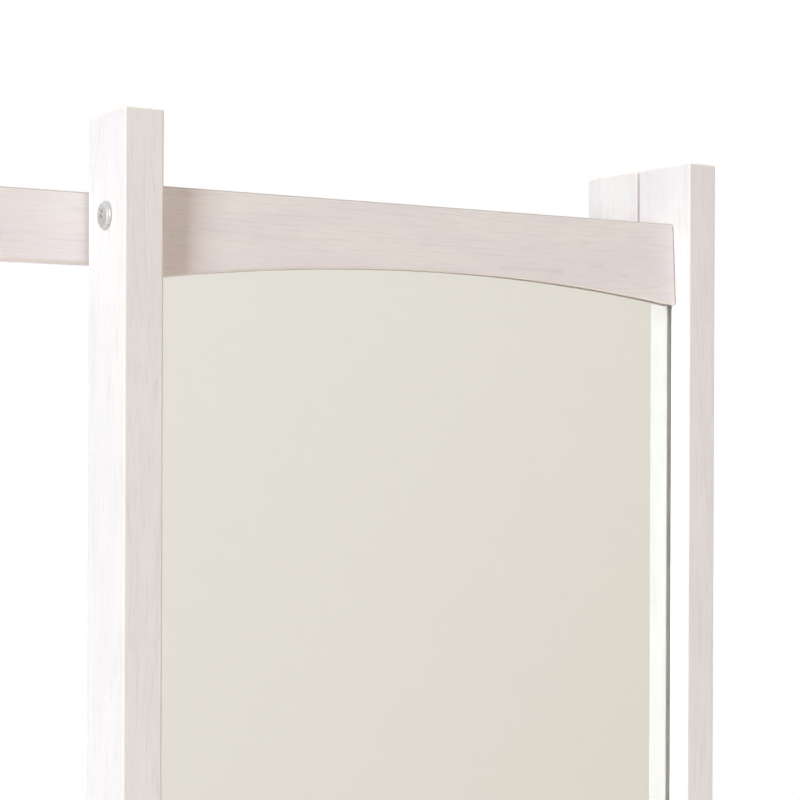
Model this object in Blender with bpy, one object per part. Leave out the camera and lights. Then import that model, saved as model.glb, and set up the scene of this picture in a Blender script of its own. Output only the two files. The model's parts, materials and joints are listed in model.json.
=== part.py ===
"""Standing mirror with a hanger rack.

A wide rack frame stands on two feet and carries a hanger rail. A narrower mirror frame hangs in front
of the rack's right half on three butt hinges and swings open like a door.

Axes: +X to the right, +Y to the back, +Z up. The origin is on the floor under the rack's middle.
"""

import math

import bmesh
import bpy
from mathutils import Matrix, Vector

MM = 0.001

# Overall sizes
STAND_HEIGHT = 1600.0 * MM
RACK_WIDTH = 800.0 * MM
MIRROR_CLEAR_WIDTH = 337.0 * MM

# Wooden stock: the mirror's rails are centred in its posts' depth, the rack's stand near its posts' front
POST_WIDTH = 20.5 * MM
MIRROR_POST_DEPTH = 46.0 * MM
RACK_POST_DEPTH = 47.5 * MM
RAIL_THICKNESS = 20.0 * MM
RACK_RAIL_SETBACK = 0.5 * MM
EASED_EDGE = 1.2 * MM

# Gap between the mirror's right post and the rack's right post
POST_GAP = 2.0 * MM

# Gap kept between pieces that touch, and the play of a bolt or a nut in its hole
FIT = 0.3 * MM
BORE_PLAY = 0.5 * MM

# Rails and where their bolts sit
POST_RISE_OVER_ARCHED_RAIL = 35.5 * MM
POST_RISE_OVER_HANGER_RAIL = 36.5 * MM
RAIL_BOLT_DROP = 15.0 * MM
HANGER_RAIL_HEIGHT = 35.5 * MM
RACK_BOTTOM_RAIL_HEIGHT = 36.0 * MM
RACK_BOTTOM_RAIL_OVER_FOOT = 60.0 * MM
ARCHED_RAIL_CROWN_HEIGHT = 35.4 * MM
ARCH_RADIUS = 1200.0 * MM
ARCH_CROWN_OFFSET = -10.0 * MM
ARCHED_RAIL_LEAN = math.radians(3.0)
MIRROR_BOTTOM_RAIL_HEIGHT = 49.0 * MM
MIRROR_POST_BELOW_RAIL = 40.0 * MM
MIRROR_BOTTOM_BOLT_DROP = 25.0 * MM

# Glass and board, held in grooves of the mirror's rails and posts
GLASS_BEHIND_RAIL_FACE = 3.0 * MM
GLASS_THICKNESS = 3.0 * MM
BOARD_THICKNESS = 2.7 * MM
SHEET_LAP_OVER_CROWN = 7.0 * MM
SHEET_LAP_IN_POST = 5.0 * MM
RAIL_GROOVE_DEPTH = 10.0 * MM
POST_GROOVE_DEPTH = 6.0 * MM
GROOVE_PLAY = 0.4 * MM

# Feet, which slope down to their ends and stand on a flat pad at each end, and floor glides
FOOT_WIDTH = 40.0 * MM
FOOT_LENGTH = 400.0 * MM
FOOT_HEIGHT = 45.0 * MM
FOOT_END_HEIGHT = 30.0 * MM
FOOT_TOP_LENGTH = 110.0 * MM
FOOT_PAD_LENGTH = 55.0 * MM
FOOT_ARCH_RISE = 9.0 * MM
FOOT_MORTISE = 10.0 * MM
FOOT_COUNTERBORE = 8.0 * MM
FOOT_SWING_CLEARANCE = 10.0 * MM
GLIDE_RADIUS = 11.0 * MM
GLIDE_HEIGHT = 4.0 * MM
GLIDE_EDGE = 1.0 * MM
GLIDE_STEM_RADIUS = 3.0 * MM
GLIDE_STEM_LENGTH = 10.0 * MM
GLIDE_INSET = 25.0 * MM

# M6 truss-head bolts with cross-dowel nuts
BOLT_RADIUS = 3.0 * MM
BOLT_HEAD_RADIUS = 7.2 * MM
BOLT_HEAD_HEIGHT = 3.8 * MM
BOLT_HEAD_RIM = 0.7 * MM
BOLT_OVERRUN = 8.0 * MM
BOLT_TIP = 0.6 * MM
BORE_END_ROOM = 3.0 * MM
BOLT_RECESS_LENGTH = 5.6 * MM
BOLT_RECESS_WIDTH = 1.5 * MM
BOLT_RECESS_DEPTH = 2.0 * MM
NUT_RADIUS = 5.0 * MM
NUT_LENGTH = 14.0 * MM
NUT_INSET = 35.0 * MM
NUT_SLOT_WIDTH = 1.4 * MM
NUT_SLOT_DEPTH = 1.2 * MM

# Butt hinges with loose pins
HINGE_END_INSET = 160.0 * MM
LEAF_LENGTH = 60.0 * MM
LEAF_WIDTH = 17.0 * MM
LEAF_THICKNESS = 1.2 * MM
LEAF_GAP = 0.2 * MM
KNUCKLE_RADIUS = 2.8 * MM
KNUCKLE_STANDOFF = 0.5 * MM
PIN_RADIUS = 1.3 * MM
PIN_HEAD_RADIUS = 2.3 * MM
PIN_HEAD_HEIGHT = 1.4 * MM
SCREW_RADIUS = 1.5 * MM
SCREW_HEAD_RADIUS = 3.0 * MM
SCREW_LENGTH = 16.0 * MM
SCREW_POINT = 3.0 * MM
SCREW_END_INSET = 11.0 * MM
SCREW_HEAD_SINK = 0.1 * MM
SCREW_RECESS_LENGTH = 3.4 * MM
SCREW_RECESS_WIDTH = 0.9 * MM
SCREW_RECESS_DEPTH = 0.9 * MM

# A driver recess narrows from its mouth to its floor, as shares of its size at the surface
RECESS_MOUTH = 1.15
RECESS_FLOOR = 0.55

# Sides and steps of round shapes
HEAD_SIDES = 20
SMALL_SIDES = 12
KNUCKLE_SIDES = 16
DOME_STEPS = 4
EASED_STEPS = 4
ARCH_STEPS = 24
FOOT_ARCH_STEPS = 12

# Edges over the first angle are eased, and edges under the second are shaded smooth
EASED_OVER = math.radians(30.0)
SMOOTH_UNDER = math.radians(40.0)

# Points closer than this are one point
SAME_POINT = 0.001 * MM

# Heights worked out from the sizes above
FOOT_BASE = GLIDE_HEIGHT + FIT
FOOT_TOP = FOOT_BASE + FOOT_HEIGHT
RACK_POST_BASE = FOOT_TOP - FOOT_MORTISE + FIT
ARCHED_RAIL_BOLT_Z = STAND_HEIGHT - POST_RISE_OVER_ARCHED_RAIL - RAIL_BOLT_DROP
HANGER_RAIL_BOLT_Z = STAND_HEIGHT - POST_RISE_OVER_HANGER_RAIL - RAIL_BOLT_DROP
RACK_BOTTOM_RAIL_TOP = FOOT_TOP + RACK_BOTTOM_RAIL_OVER_FOOT + RACK_BOTTOM_RAIL_HEIGHT
RACK_BOTTOM_BOLT_Z = RACK_BOTTOM_RAIL_TOP - RAIL_BOLT_DROP
MIRROR_POST_BASE = FOOT_TOP + FOOT_SWING_CLEARANCE
MIRROR_BOTTOM_RAIL_TOP = MIRROR_POST_BASE + MIRROR_POST_BELOW_RAIL + MIRROR_BOTTOM_RAIL_HEIGHT
MIRROR_BOTTOM_BOLT_Z = MIRROR_BOTTOM_RAIL_TOP - MIRROR_BOTTOM_BOLT_DROP

# Places across the width and the depth
RACK_POST_X = (RACK_WIDTH - POST_WIDTH) / 2
MIRROR_RIGHT_X = RACK_POST_X
MIRROR_LEFT_X = MIRROR_RIGHT_X - MIRROR_CLEAR_WIDTH - POST_WIDTH
MIRROR_MID_X = (MIRROR_LEFT_X + MIRROR_RIGHT_X) / 2
MIRROR_Y = -(RACK_POST_DEPTH / 2 + POST_GAP + MIRROR_POST_DEPTH / 2)
RACK_RAIL_Y = RACK_RAIL_SETBACK + (RAIL_THICKNESS - RACK_POST_DEPTH) / 2
RACK_CLEAR_WIDTH = RACK_WIDTH - 2 * POST_WIDTH

# The swing axis stands just outside the two right posts, on the gap's middle plane
AXIS_X = RACK_WIDTH / 2 + KNUCKLE_RADIUS + KNUCKLE_STANDOFF
AXIS_Y = -(RACK_POST_DEPTH + POST_GAP) / 2
LOWER_HINGE_Z = MIRROR_POST_BASE + HINGE_END_INSET
UPPER_HINGE_Z = STAND_HEIGHT - HINGE_END_INSET
HINGE_LEVELS = {
    "upper": UPPER_HINGE_Z,
    "middle": (LOWER_HINGE_Z + UPPER_HINGE_Z) / 2,
    "lower": LOWER_HINGE_Z,
}
LEAF_RECESS = LEAF_GAP / 2 + LEAF_THICKNESS + FIT - POST_GAP / 2
SCREW_X = RACK_WIDTH / 2 - LEAF_WIDTH / 2
SCREW_RISE = LEAF_LENGTH / 2 - SCREW_END_INSET

# Bolts end a little past their nuts, and the bores end a little past the bolts
BOLT_BORE_DEPTH = NUT_INSET + BOLT_OVERRUN + BORE_END_ROOM
BOLT_BORE_RADIUS = BOLT_RADIUS + BORE_PLAY
NUT_BORE_RADIUS = NUT_RADIUS + FIT


def finish(name, colour, roughness, metallic=0.0):
    """Principled material of one colour."""
    material = bpy.data.materials.new(name)
    material.use_nodes = True
    shader = material.node_tree.nodes["Principled BSDF"]
    shader.inputs["Base Color"].default_value = (*colour, 1.0)
    shader.inputs["Roughness"].default_value = roughness
    shader.inputs["Metallic"].default_value = metallic
    material.diffuse_color = (*colour, 1.0)
    return material


def block(low, high):
    """Box between two corners."""
    shape = bmesh.new()
    size = Vector(high) - Vector(low)
    middle = (Vector(high) + Vector(low)) / 2
    matrix = Matrix.Translation(middle) @ Matrix.Diagonal((*size, 1.0))
    bmesh.ops.create_cube(shape, size=1.0, matrix=matrix)
    return shape


def ease(shape):
    """Rounds every edge where two faces meet at an angle."""
    edges = [edge for edge in shape.edges if edge.calc_face_angle() > EASED_OVER]
    bmesh.ops.bevel(
        shape, geom=edges, offset=EASED_EDGE, segments=EASED_STEPS, profile=0.5, affect="EDGES",
    )
    return shape


def extruded(outline, low_y, high_y):
    """Solid from an outline of (x, z) points, pulled along Y."""
    shape = bmesh.new()
    face = shape.faces.new([shape.verts.new((x, low_y, z)) for x, z in outline])
    pulled = bmesh.ops.extrude_face_region(shape, geom=[face])
    moved = [item for item in pulled["geom"] if isinstance(item, bmesh.types.BMVert)]
    bmesh.ops.translate(shape, vec=(0.0, high_y - low_y, 0.0), verts=moved)
    bmesh.ops.recalc_face_normals(shape, faces=shape.faces)
    return shape


def turned(profile, sides):
    """Solid spun about Z from (radius, height) points that start and end on the axis."""
    shape = bmesh.new()
    points = [shape.verts.new((radius, 0.0, height)) for radius, height in profile]
    edges = [shape.edges.new(pair) for pair in zip(points, points[1:])]
    bmesh.ops.spin(
        shape, geom=points + edges, cent=(0.0, 0.0, 0.0), axis=(0.0, 0.0, 1.0),
        angle=2 * math.pi, steps=sides, use_merge=True,
    )
    bmesh.ops.remove_doubles(shape, verts=shape.verts, dist=SAME_POINT)
    bmesh.ops.recalc_face_normals(shape, faces=shape.faces)
    return shape


def aimed(shape, start, direction):
    """Turns a solid made about Z so that it points along a direction, and moves its origin to start."""
    turn = Vector((0.0, 0.0, 1.0)).rotation_difference(Vector(direction)).to_matrix().to_4x4()
    bmesh.ops.transform(shape, matrix=Matrix.Translation(start) @ turn, verts=shape.verts)
    return shape


def rod(radius, start, end, sides=SMALL_SIDES):
    """Round bar between two points."""
    reach = Vector(end) - Vector(start)
    shape = bmesh.new()
    raised = Matrix.Translation((0.0, 0.0, reach.length / 2))
    bmesh.ops.create_cone(
        shape, cap_ends=True, segments=sides, radius1=radius, radius2=radius,
        depth=reach.length, matrix=raised,
    )
    return aimed(shape, start, reach)


def cross(length, width, depth, top):
    """Tapered cross that cuts a driver recess down from a height on the Z axis."""
    shape = bmesh.new()
    rings = []
    for height, share in ((top - depth, RECESS_FLOOR), (top + depth / 2, RECESS_MOUTH)):
        long = share * length / 2
        thin = share * width / 2
        corner = [(long, -thin), (long, thin), (thin, thin)]
        ring = []
        for quarter in range(4):
            turn = Matrix.Rotation(quarter * math.pi / 2, 2)
            ring += [shape.verts.new((*(turn @ Vector(point)), height)) for point in corner]
        rings.append(ring)
    low, high = rings
    shape.faces.new(reversed(low))
    shape.faces.new(high)
    for index in range(len(low)):
        after = (index + 1) % len(low)
        shape.faces.new((low[index], low[after], high[after], high[index]))
    bmesh.ops.recalc_face_normals(shape, faces=shape.faces)
    return shape


def joined(shapes):
    """One mesh that holds several separate shapes."""
    mesh = bpy.data.meshes.new("joined")
    whole = bmesh.new()
    for shape in shapes:
        shape.to_mesh(mesh)
        shape.free()
        whole.from_mesh(mesh)
    bpy.data.meshes.remove(mesh)
    return whole


def new_object(name, shape):
    """Object made from a shape, with round faces shaded smooth."""
    mesh = bpy.data.meshes.new(name)
    shape.to_mesh(mesh)
    shape.free()
    mesh.shade_smooth()
    mesh.set_sharp_from_angle(angle=SMOOTH_UNDER)
    item = bpy.data.objects.new(name, mesh)
    bpy.context.scene.collection.objects.link(item)
    return item


def piece(name, shape, material, at, carrier=None, lean=0.0):
    """Named sub-part whose own origin is placed at a world point, on a carrier that may swing."""
    item = new_object(name, shape)
    item.data.materials.append(material)
    item.parent = carrier
    item.location = Vector(at) - (carrier.location if carrier else Vector())
    item.rotation_euler = (-lean, 0.0, 0.0)
    return item


def change(item, label, shapes, operation="DIFFERENCE"):
    """Cuts shapes out of a piece, or adds them to it. The shapes are measured from the piece's origin."""
    tool = new_object(f"{item.name}.{label}", joined(shapes))
    tool.parent = item.parent
    tool.location = item.location
    tool.rotation_euler = item.rotation_euler
    tool.hide_render = True
    tool.display_type = "WIRE"
    step = item.modifiers.new(label, "BOOLEAN")
    step.operation = operation
    step.solver = "EXACT"
    step.object = tool


def post(name, x, y, depth, base, material, carrier=None):
    """Upright with eased edges. Its origin is on the floor under its middle."""
    low = (-POST_WIDTH / 2, -depth / 2, base)
    high = (POST_WIDTH / 2, depth / 2, STAND_HEIGHT)
    return piece(name, ease(block(low, high)), material, (x, y, 0.0), carrier)


def cross_bores(levels, y=0.0):
    """Bolt holes through a post, from side to side."""
    reach = POST_WIDTH
    return [rod(BOLT_BORE_RADIUS, (-reach, y, z), (reach, y, z)) for z in levels]


def leaf_seats(side, depth):
    """Shallow seats for the hinge leaves. The side is -1 in a post's front face and 1 in its back."""
    face = side * depth / 2
    inner = POST_WIDTH / 2 - LEAF_WIDTH - FIT
    half = LEAF_LENGTH / 2 + FIT
    depths = sorted((face - side * LEAF_RECESS, face + side * POST_GAP))
    seats = []
    for z in HINGE_LEVELS.values():
        seats.append(block((inner, depths[0], z - half), (POST_WIDTH, depths[1], z + half)))
    return seats


def screw_bores(side, depth):
    """Pilot holes for the hinge screws, drilled on from the seats of the leaves."""
    face = side * depth / 2
    deep = face - side * (LEAF_RECESS + SCREW_LENGTH)
    x = SCREW_X - RACK_POST_X
    bores = []
    for z in HINGE_LEVELS.values():
        for end in (-1, 1):
            level = z + end * SCREW_RISE
            bores.append(rod(SCREW_RADIUS + FIT, (x, face, level), (x, deep, level)))
    return bores


def arch_drop(reach):
    """How far an arched underside lies below its crown, at a distance from the crown."""
    return ARCH_RADIUS - math.sqrt(ARCH_RADIUS ** 2 - reach ** 2)


def rail_outline(length, top, bottom, arched):
    """Outline of a rail seen from the front. On an arched rail the bottom is the crown's height."""
    half = length / 2
    outline = [(half, top), (-half, top)]
    if not arched:
        return outline + [(-half, bottom), (half, bottom)]
    for step in range(ARCH_STEPS + 1):
        x = half * (2 * step / ARCH_STEPS - 1)
        outline.append((x, bottom - arch_drop(x - ARCH_CROWN_OFFSET)))
    return outline


def rail(name, clear_width, height, bolt_drop, place, material, carrier=None, arched=False, lean=0.0):
    """Rail between two posts. Its origin is on its bolts' axis, at half its length."""
    length = clear_width - 2 * FIT
    outline = rail_outline(length, bolt_drop, bolt_drop - height, arched)
    shape = ease(extruded(outline, -RAIL_THICKNESS / 2, RAIL_THICKNESS / 2))
    item = piece(name, shape, material, place, carrier, lean)
    bores = []
    nut_bores = []
    for end in (-1, 1):
        mouth = end * (length / 2 + EASED_EDGE)
        deep = end * (length / 2 - BOLT_BORE_DEPTH)
        bores.append(rod(BOLT_BORE_RADIUS, (mouth, 0.0, 0.0), (deep, 0.0, 0.0)))
        nut_x = end * (clear_width / 2 - NUT_INSET)
        nut_end = -NUT_LENGTH / 2 - FIT
        nut_bores.append(rod(NUT_BORE_RADIUS, (nut_x, nut_end, 0.0), (nut_x, RAIL_THICKNESS, 0.0)))
    change(item, "bolt_bores", bores)
    change(item, "nut_bores", nut_bores)
    return item


def bolt_head():
    """Profile of a truss head, from its top on the axis down to its bearing face at height 0."""
    dome = BOLT_HEAD_HEIGHT - BOLT_HEAD_RIM
    radius = (BOLT_HEAD_RADIUS ** 2 + dome ** 2) / (2 * dome)
    spread = math.asin(BOLT_HEAD_RADIUS / radius)
    profile = []
    for step in range(DOME_STEPS + 1):
        angle = spread * step / DOME_STEPS
        profile.append((radius * math.sin(angle), -BOLT_HEAD_HEIGHT + radius * (1 - math.cos(angle))))
    return profile + [(BOLT_HEAD_RADIUS, 0.0)]


def bolt(name, length, at, direction, material, carrier=None):
    """Truss-head bolt. It bears on a face at its origin and runs along a direction from there."""
    shank = [
        (BOLT_RADIUS, 0.0), (BOLT_RADIUS, length - BOLT_TIP), (BOLT_RADIUS - BOLT_TIP, length), (0.0, length),
    ]
    shape = aimed(turned(bolt_head() + shank, HEAD_SIDES), (0.0, 0.0, 0.0), direction)
    item = piece(name, shape, material, at, carrier)
    recess = cross(BOLT_RECESS_LENGTH, BOLT_RECESS_WIDTH, BOLT_RECESS_DEPTH, BOLT_HEAD_HEIGHT)
    change(item, "recess", [aimed(recess, (0.0, 0.0, 0.0), -Vector(direction))])
    return item


def nut(name, at, along, through, material, carrier=None, lean=0.0):
    """Cross-dowel nut lying along one direction, with its bolt passing through it along another."""
    along = Vector(along)
    through = Vector(through)
    half = NUT_LENGTH / 2
    item = piece(name, rod(NUT_RADIUS, -half * along, half * along), material, at, carrier, lean)
    reach = 2 * NUT_RADIUS
    change(item, "thread", [rod(BOLT_RADIUS + FIT, -reach * through, reach * through)])
    slot_low = (-NUT_SLOT_WIDTH / 2, -reach, half - NUT_SLOT_DEPTH)
    slot_high = (NUT_SLOT_WIDTH / 2, reach, half + NUT_SLOT_DEPTH)
    slot = block(slot_low, slot_high)
    change(item, "slot", [aimed(slot, (0.0, 0.0, 0.0), along)])
    return item


def rail_fasteners(name, mid, clear_width, steel, carrier=None, lean=0.0):
    """A bolt through each post into a rail's end, and the nut that it draws on."""
    mid = Vector(mid)
    nut_reach = clear_width / 2 - NUT_INSET
    length = FIT + POST_WIDTH + NUT_INSET + BOLT_OVERRUN
    for side, end in (("left", -1), ("right", 1)):
        outside = mid + Vector((end * (clear_width / 2 + POST_WIDTH + FIT), 0.0, 0.0))
        bolt(f"{name}_bolt_{side}", length, outside, (-end, 0.0, 0.0), steel, carrier)
        inside = mid + Vector((end * nut_reach, 0.0, 0.0))
        nut(f"{name}_nut_{side}", inside, (0.0, 1.0, 0.0), (1.0, 0.0, 0.0), steel, carrier, lean)


def foot_outline():
    """Outline of a foot seen from its side, as (distance along the foot, height) points."""
    half = FOOT_LENGTH / 2
    end_top = FOOT_BASE + FOOT_END_HEIGHT
    outline = [
        (half, FOOT_BASE), (half, end_top), (FOOT_TOP_LENGTH / 2, FOOT_TOP),
        (-FOOT_TOP_LENGTH / 2, FOOT_TOP), (-half, end_top), (-half, FOOT_BASE),
    ]
    span = half - FOOT_PAD_LENGTH
    radius = (span ** 2 + FOOT_ARCH_RISE ** 2) / (2 * FOOT_ARCH_RISE)
    centre = FOOT_BASE + FOOT_ARCH_RISE - radius
    spread = math.asin(span / radius)
    for step in range(FOOT_ARCH_STEPS + 1):
        angle = spread * (2 * step / FOOT_ARCH_STEPS - 1)
        outline.append((radius * math.sin(angle), centre + radius * math.cos(angle)))
    return outline


def foot(side, end, wood, plastic, steel):
    """Foot under a rack post, with its bolt, nut and two floor glides."""
    x = end * RACK_POST_X
    half_l = FOOT_LENGTH / 2
    shape = ease(extruded(foot_outline(), -FOOT_WIDTH / 2, FOOT_WIDTH / 2))
    bmesh.ops.rotate(shape, matrix=Matrix.Rotation(math.pi / 2, 3, "Z"), verts=shape.verts)
    item = piece(f"{side}_foot", shape, wood, (x, 0.0, 0.0))

    seat_x = POST_WIDTH / 2 + FIT
    seat_y = RACK_POST_DEPTH / 2 + FIT
    seat_low = (-seat_x, -seat_y, FOOT_TOP - FOOT_MORTISE)
    seat_high = (seat_x, seat_y, FOOT_TOP + FOOT_MORTISE)
    change(item, "mortise", [block(seat_low, seat_high)])

    head_seat = FOOT_BASE + FOOT_ARCH_RISE + FOOT_COUNTERBORE
    head_bore = BOLT_HEAD_RADIUS + BORE_PLAY
    change(item, "counterbore", [rod(head_bore, (0.0, 0.0, 0.0), (0.0, 0.0, head_seat), HEAD_SIDES)])
    change(item, "bolt_bore", [rod(BOLT_BORE_RADIUS, (0.0, 0.0, FOOT_BASE), (0.0, 0.0, FOOT_TOP))])

    bolt_base = head_seat - FIT
    nut_z = RACK_POST_BASE + NUT_INSET
    bolt_length = nut_z + BOLT_OVERRUN - bolt_base
    bolt(f"{side}_foot_bolt", bolt_length, (x, 0.0, bolt_base), (0.0, 0.0, 1.0), steel)
    nut(f"{side}_foot_nut", (x, 0.0, nut_z), (-end, 0.0, 0.0), (0.0, 0.0, 1.0), steel)

    stem_top = GLIDE_HEIGHT + GLIDE_STEM_LENGTH
    profile = [
        (0.0, 0.0), (GLIDE_RADIUS - GLIDE_EDGE, 0.0), (GLIDE_RADIUS, GLIDE_EDGE),
        (GLIDE_RADIUS, GLIDE_HEIGHT), (GLIDE_STEM_RADIUS, GLIDE_HEIGHT),
        (GLIDE_STEM_RADIUS, stem_top), (0.0, stem_top),
    ]
    stem_holes = []
    for place, y in (("front", GLIDE_INSET - half_l), ("back", half_l - GLIDE_INSET)):
        piece(f"glide_{side}_{place}", turned(profile, KNUCKLE_SIDES), plastic, (x, y, 0.0))
        stem_holes.append(rod(GLIDE_STEM_RADIUS + FIT, (0.0, y, 0.0), (0.0, y, stem_top + FIT)))
    change(item, "stem_holes", stem_holes)


def foot_joint(item, end):
    """Bore up into a rack post's end, and the hole for the nut from the post's inner side."""
    bore_top = RACK_POST_BASE + BOLT_BORE_DEPTH
    change(item, "foot_bolt_bore", [rod(BOLT_BORE_RADIUS, (0.0, 0.0, 0.0), (0.0, 0.0, bore_top))])
    nut_z = RACK_POST_BASE + NUT_INSET
    far = (end * (NUT_LENGTH / 2 + FIT), 0.0, nut_z)
    change(item, "foot_nut_bore", [rod(NUT_BORE_RADIUS, far, (-end * POST_WIDTH, 0.0, nut_z))])


def rack_frame(wood, plastic, steel):
    """Two posts on feet, joined by the hanger rail above and a plain rail below."""
    for side, end in (("left", -1), ("right", 1)):
        item = post(f"rack_{side}_post", end * RACK_POST_X, 0.0, RACK_POST_DEPTH, RACK_POST_BASE, wood)
        change(item, "rail_bores", cross_bores((HANGER_RAIL_BOLT_Z, RACK_BOTTOM_BOLT_Z), RACK_RAIL_Y))
        foot_joint(item, end)
        if end == 1:
            change(item, "leaf_seats", leaf_seats(-1, RACK_POST_DEPTH))
            change(item, "screw_bores", screw_bores(-1, RACK_POST_DEPTH))
        foot(side, end, wood, plastic, steel)
    rails = (
        ("hanger_rail", HANGER_RAIL_HEIGHT, HANGER_RAIL_BOLT_Z),
        ("rack_bottom_rail", RACK_BOTTOM_RAIL_HEIGHT, RACK_BOTTOM_BOLT_Z),
    )
    for name, height, z in rails:
        place = (0.0, RACK_RAIL_Y, z)
        rail(name, RACK_CLEAR_WIDTH, height, RAIL_BOLT_DROP, place, wood)
        rail_fasteners(name, place, RACK_CLEAR_WIDTH, steel)


def mirror_frame(axis, wood, silver, hardboard, steel):
    """Two posts, an arched rail and a bottom rail around the glass and its board."""
    # The glass and the board, measured back from the frame's middle plane
    glass_front = GLASS_BEHIND_RAIL_FACE - RAIL_THICKNESS / 2
    glass_back = glass_front + GLASS_THICKNESS
    board_front = glass_back + FIT
    board_back = board_front + BOARD_THICKNESS
    crown = RAIL_BOLT_DROP - ARCHED_RAIL_CROWN_HEIGHT
    sheet_top = ARCHED_RAIL_BOLT_Z + crown + SHEET_LAP_OVER_CROWN
    sheet_base = MIRROR_BOTTOM_RAIL_TOP - RAIL_GROOVE_DEPTH + FIT
    sheet_half = MIRROR_CLEAR_WIDTH / 2 + SHEET_LAP_IN_POST
    origin = (MIRROR_MID_X, MIRROR_Y, 0.0)
    glass = block((-sheet_half, glass_front, sheet_base), (sheet_half, glass_back, sheet_top))
    piece("mirror_glass", glass, silver, origin, axis)
    board = block((-sheet_half, board_front, sheet_base), (sheet_half, board_back, sheet_top))
    piece("backing_board", board, hardboard, origin, axis)

    for side, end, x in (("left", -1, MIRROR_LEFT_X), ("right", 1, MIRROR_RIGHT_X)):
        item = post(f"mirror_{side}_post", x, MIRROR_Y, MIRROR_POST_DEPTH, MIRROR_POST_BASE, wood, axis)
        change(item, "rail_bores", cross_bores((ARCHED_RAIL_BOLT_Z, MIRROR_BOTTOM_BOLT_Z)))
        groove_x = sorted((-end * (POST_WIDTH / 2 - POST_GROOVE_DEPTH), -end * POST_WIDTH))
        low = (groove_x[0], glass_front - GROOVE_PLAY, sheet_base - GROOVE_PLAY)
        high = (groove_x[1], board_back + GROOVE_PLAY, sheet_top + GROOVE_PLAY)
        change(item, "groove", [block(low, high)])
        if end == 1:
            change(item, "leaf_seats", leaf_seats(1, MIRROR_POST_DEPTH))
            change(item, "screw_bores", screw_bores(1, MIRROR_POST_DEPTH))

    # The arched rail has turned a little on its bolts, so its groove is wider than the sheets
    top_mid = (MIRROR_MID_X, MIRROR_Y, ARCHED_RAIL_BOLT_Z)
    arched = rail(
        "arched_top_rail", MIRROR_CLEAR_WIDTH, ARCHED_RAIL_CROWN_HEIGHT, RAIL_BOLT_DROP, top_mid,
        wood, axis, arched=True, lean=ARCHED_RAIL_LEAN,
    )
    slope = math.sin(ARCHED_RAIL_LEAN)
    rail_low = crown - arch_drop(MIRROR_CLEAR_WIDTH / 2 + abs(ARCH_CROWN_OFFSET))
    groove_top = sheet_top - ARCHED_RAIL_BOLT_Z + abs(glass_front) * slope + GROOVE_PLAY
    groove_front = glass_front - groove_top * slope - GROOVE_PLAY
    groove_back = board_back - rail_low * slope + GROOVE_PLAY
    past_end = MIRROR_CLEAR_WIDTH
    low = (-past_end, groove_front, rail_low - RAIL_GROOVE_DEPTH)
    change(arched, "groove", [block(low, (past_end, groove_back, groove_top))])
    rail_fasteners("arched_rail", top_mid, MIRROR_CLEAR_WIDTH, steel, axis, ARCHED_RAIL_LEAN)

    bottom_mid = (MIRROR_MID_X, MIRROR_Y, MIRROR_BOTTOM_BOLT_Z)
    bottom = rail(
        "mirror_bottom_rail", MIRROR_CLEAR_WIDTH, MIRROR_BOTTOM_RAIL_HEIGHT, MIRROR_BOTTOM_BOLT_DROP,
        bottom_mid, wood, axis,
    )
    floor = MIRROR_BOTTOM_BOLT_DROP - RAIL_GROOVE_DEPTH
    low = (-past_end, glass_front - GROOVE_PLAY, floor)
    high = (past_end, board_back + GROOVE_PLAY, MIRROR_BOTTOM_BOLT_DROP + RAIL_GROOVE_DEPTH)
    change(bottom, "groove", [block(low, high)])
    rail_fasteners("mirror_bottom_rail", bottom_mid, MIRROR_CLEAR_WIDTH, steel, axis)


def leaf(name, side, place, knuckles, rooms, steel, carrier=None):
    """Hinge leaf with its knuckles, from the pin out. The side is 1 on the rack and -1 on the mirror."""
    near = side * LEAF_GAP / 2
    far = side * (LEAF_GAP / 2 + LEAF_THICKNESS)
    inner = RACK_WIDTH / 2 - LEAF_WIDTH - AXIS_X
    half = LEAF_LENGTH / 2 - FIT
    plate = block((inner, min(near, far), -half), (0.0, max(near, far), half))
    item = piece(name, plate, steel, place, carrier)

    def bars(radius, spans):
        return [rod(radius, (0.0, 0.0, low), (0.0, 0.0, high), KNUCKLE_SIDES) for low, high in spans]

    change(item, "rooms", bars(KNUCKLE_RADIUS + FIT, rooms))
    change(item, "knuckles", bars(KNUCKLE_RADIUS, knuckles), "UNION")
    change(item, "pin_bore", bars(PIN_RADIUS + FIT, [(-LEAF_LENGTH, LEAF_LENGTH)]))

    # Countersunk seats open towards the other leaf
    mouth = SCREW_HEAD_RADIUS + FIT
    throat = SCREW_RADIUS + FIT
    past = LEAF_THICKNESS + LEAF_GAP
    profile = [
        (0.0, -LEAF_GAP), (mouth, -LEAF_GAP), (mouth, 0.0),
        (throat, LEAF_THICKNESS), (throat, past), (0.0, past),
    ]
    seats = []
    for end in (-1, 1):
        start = (SCREW_X - AXIS_X, near, end * SCREW_RISE)
        seats.append(aimed(turned(profile, SMALL_SIDES), start, (0.0, side, 0.0)))
    change(item, "screw_seats", seats)


def screw(name, at, direction, steel, carrier=None):
    """Countersunk screw whose flat head lies at its origin and is as deep as its seat in the leaf."""
    cone = LEAF_THICKNESS - SCREW_HEAD_SINK
    profile = [
        (0.0, 0.0), (SCREW_HEAD_RADIUS, 0.0), (SCREW_RADIUS, cone),
        (SCREW_RADIUS, SCREW_LENGTH - SCREW_POINT), (0.0, SCREW_LENGTH),
    ]
    item = piece(name, aimed(turned(profile, SMALL_SIDES), (0.0, 0.0, 0.0), direction), steel, at, carrier)
    recess = cross(SCREW_RECESS_LENGTH, SCREW_RECESS_WIDTH, SCREW_RECESS_DEPTH, 0.0)
    change(item, "recess", [aimed(recess, (0.0, 0.0, 0.0), -Vector(direction))])


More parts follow.
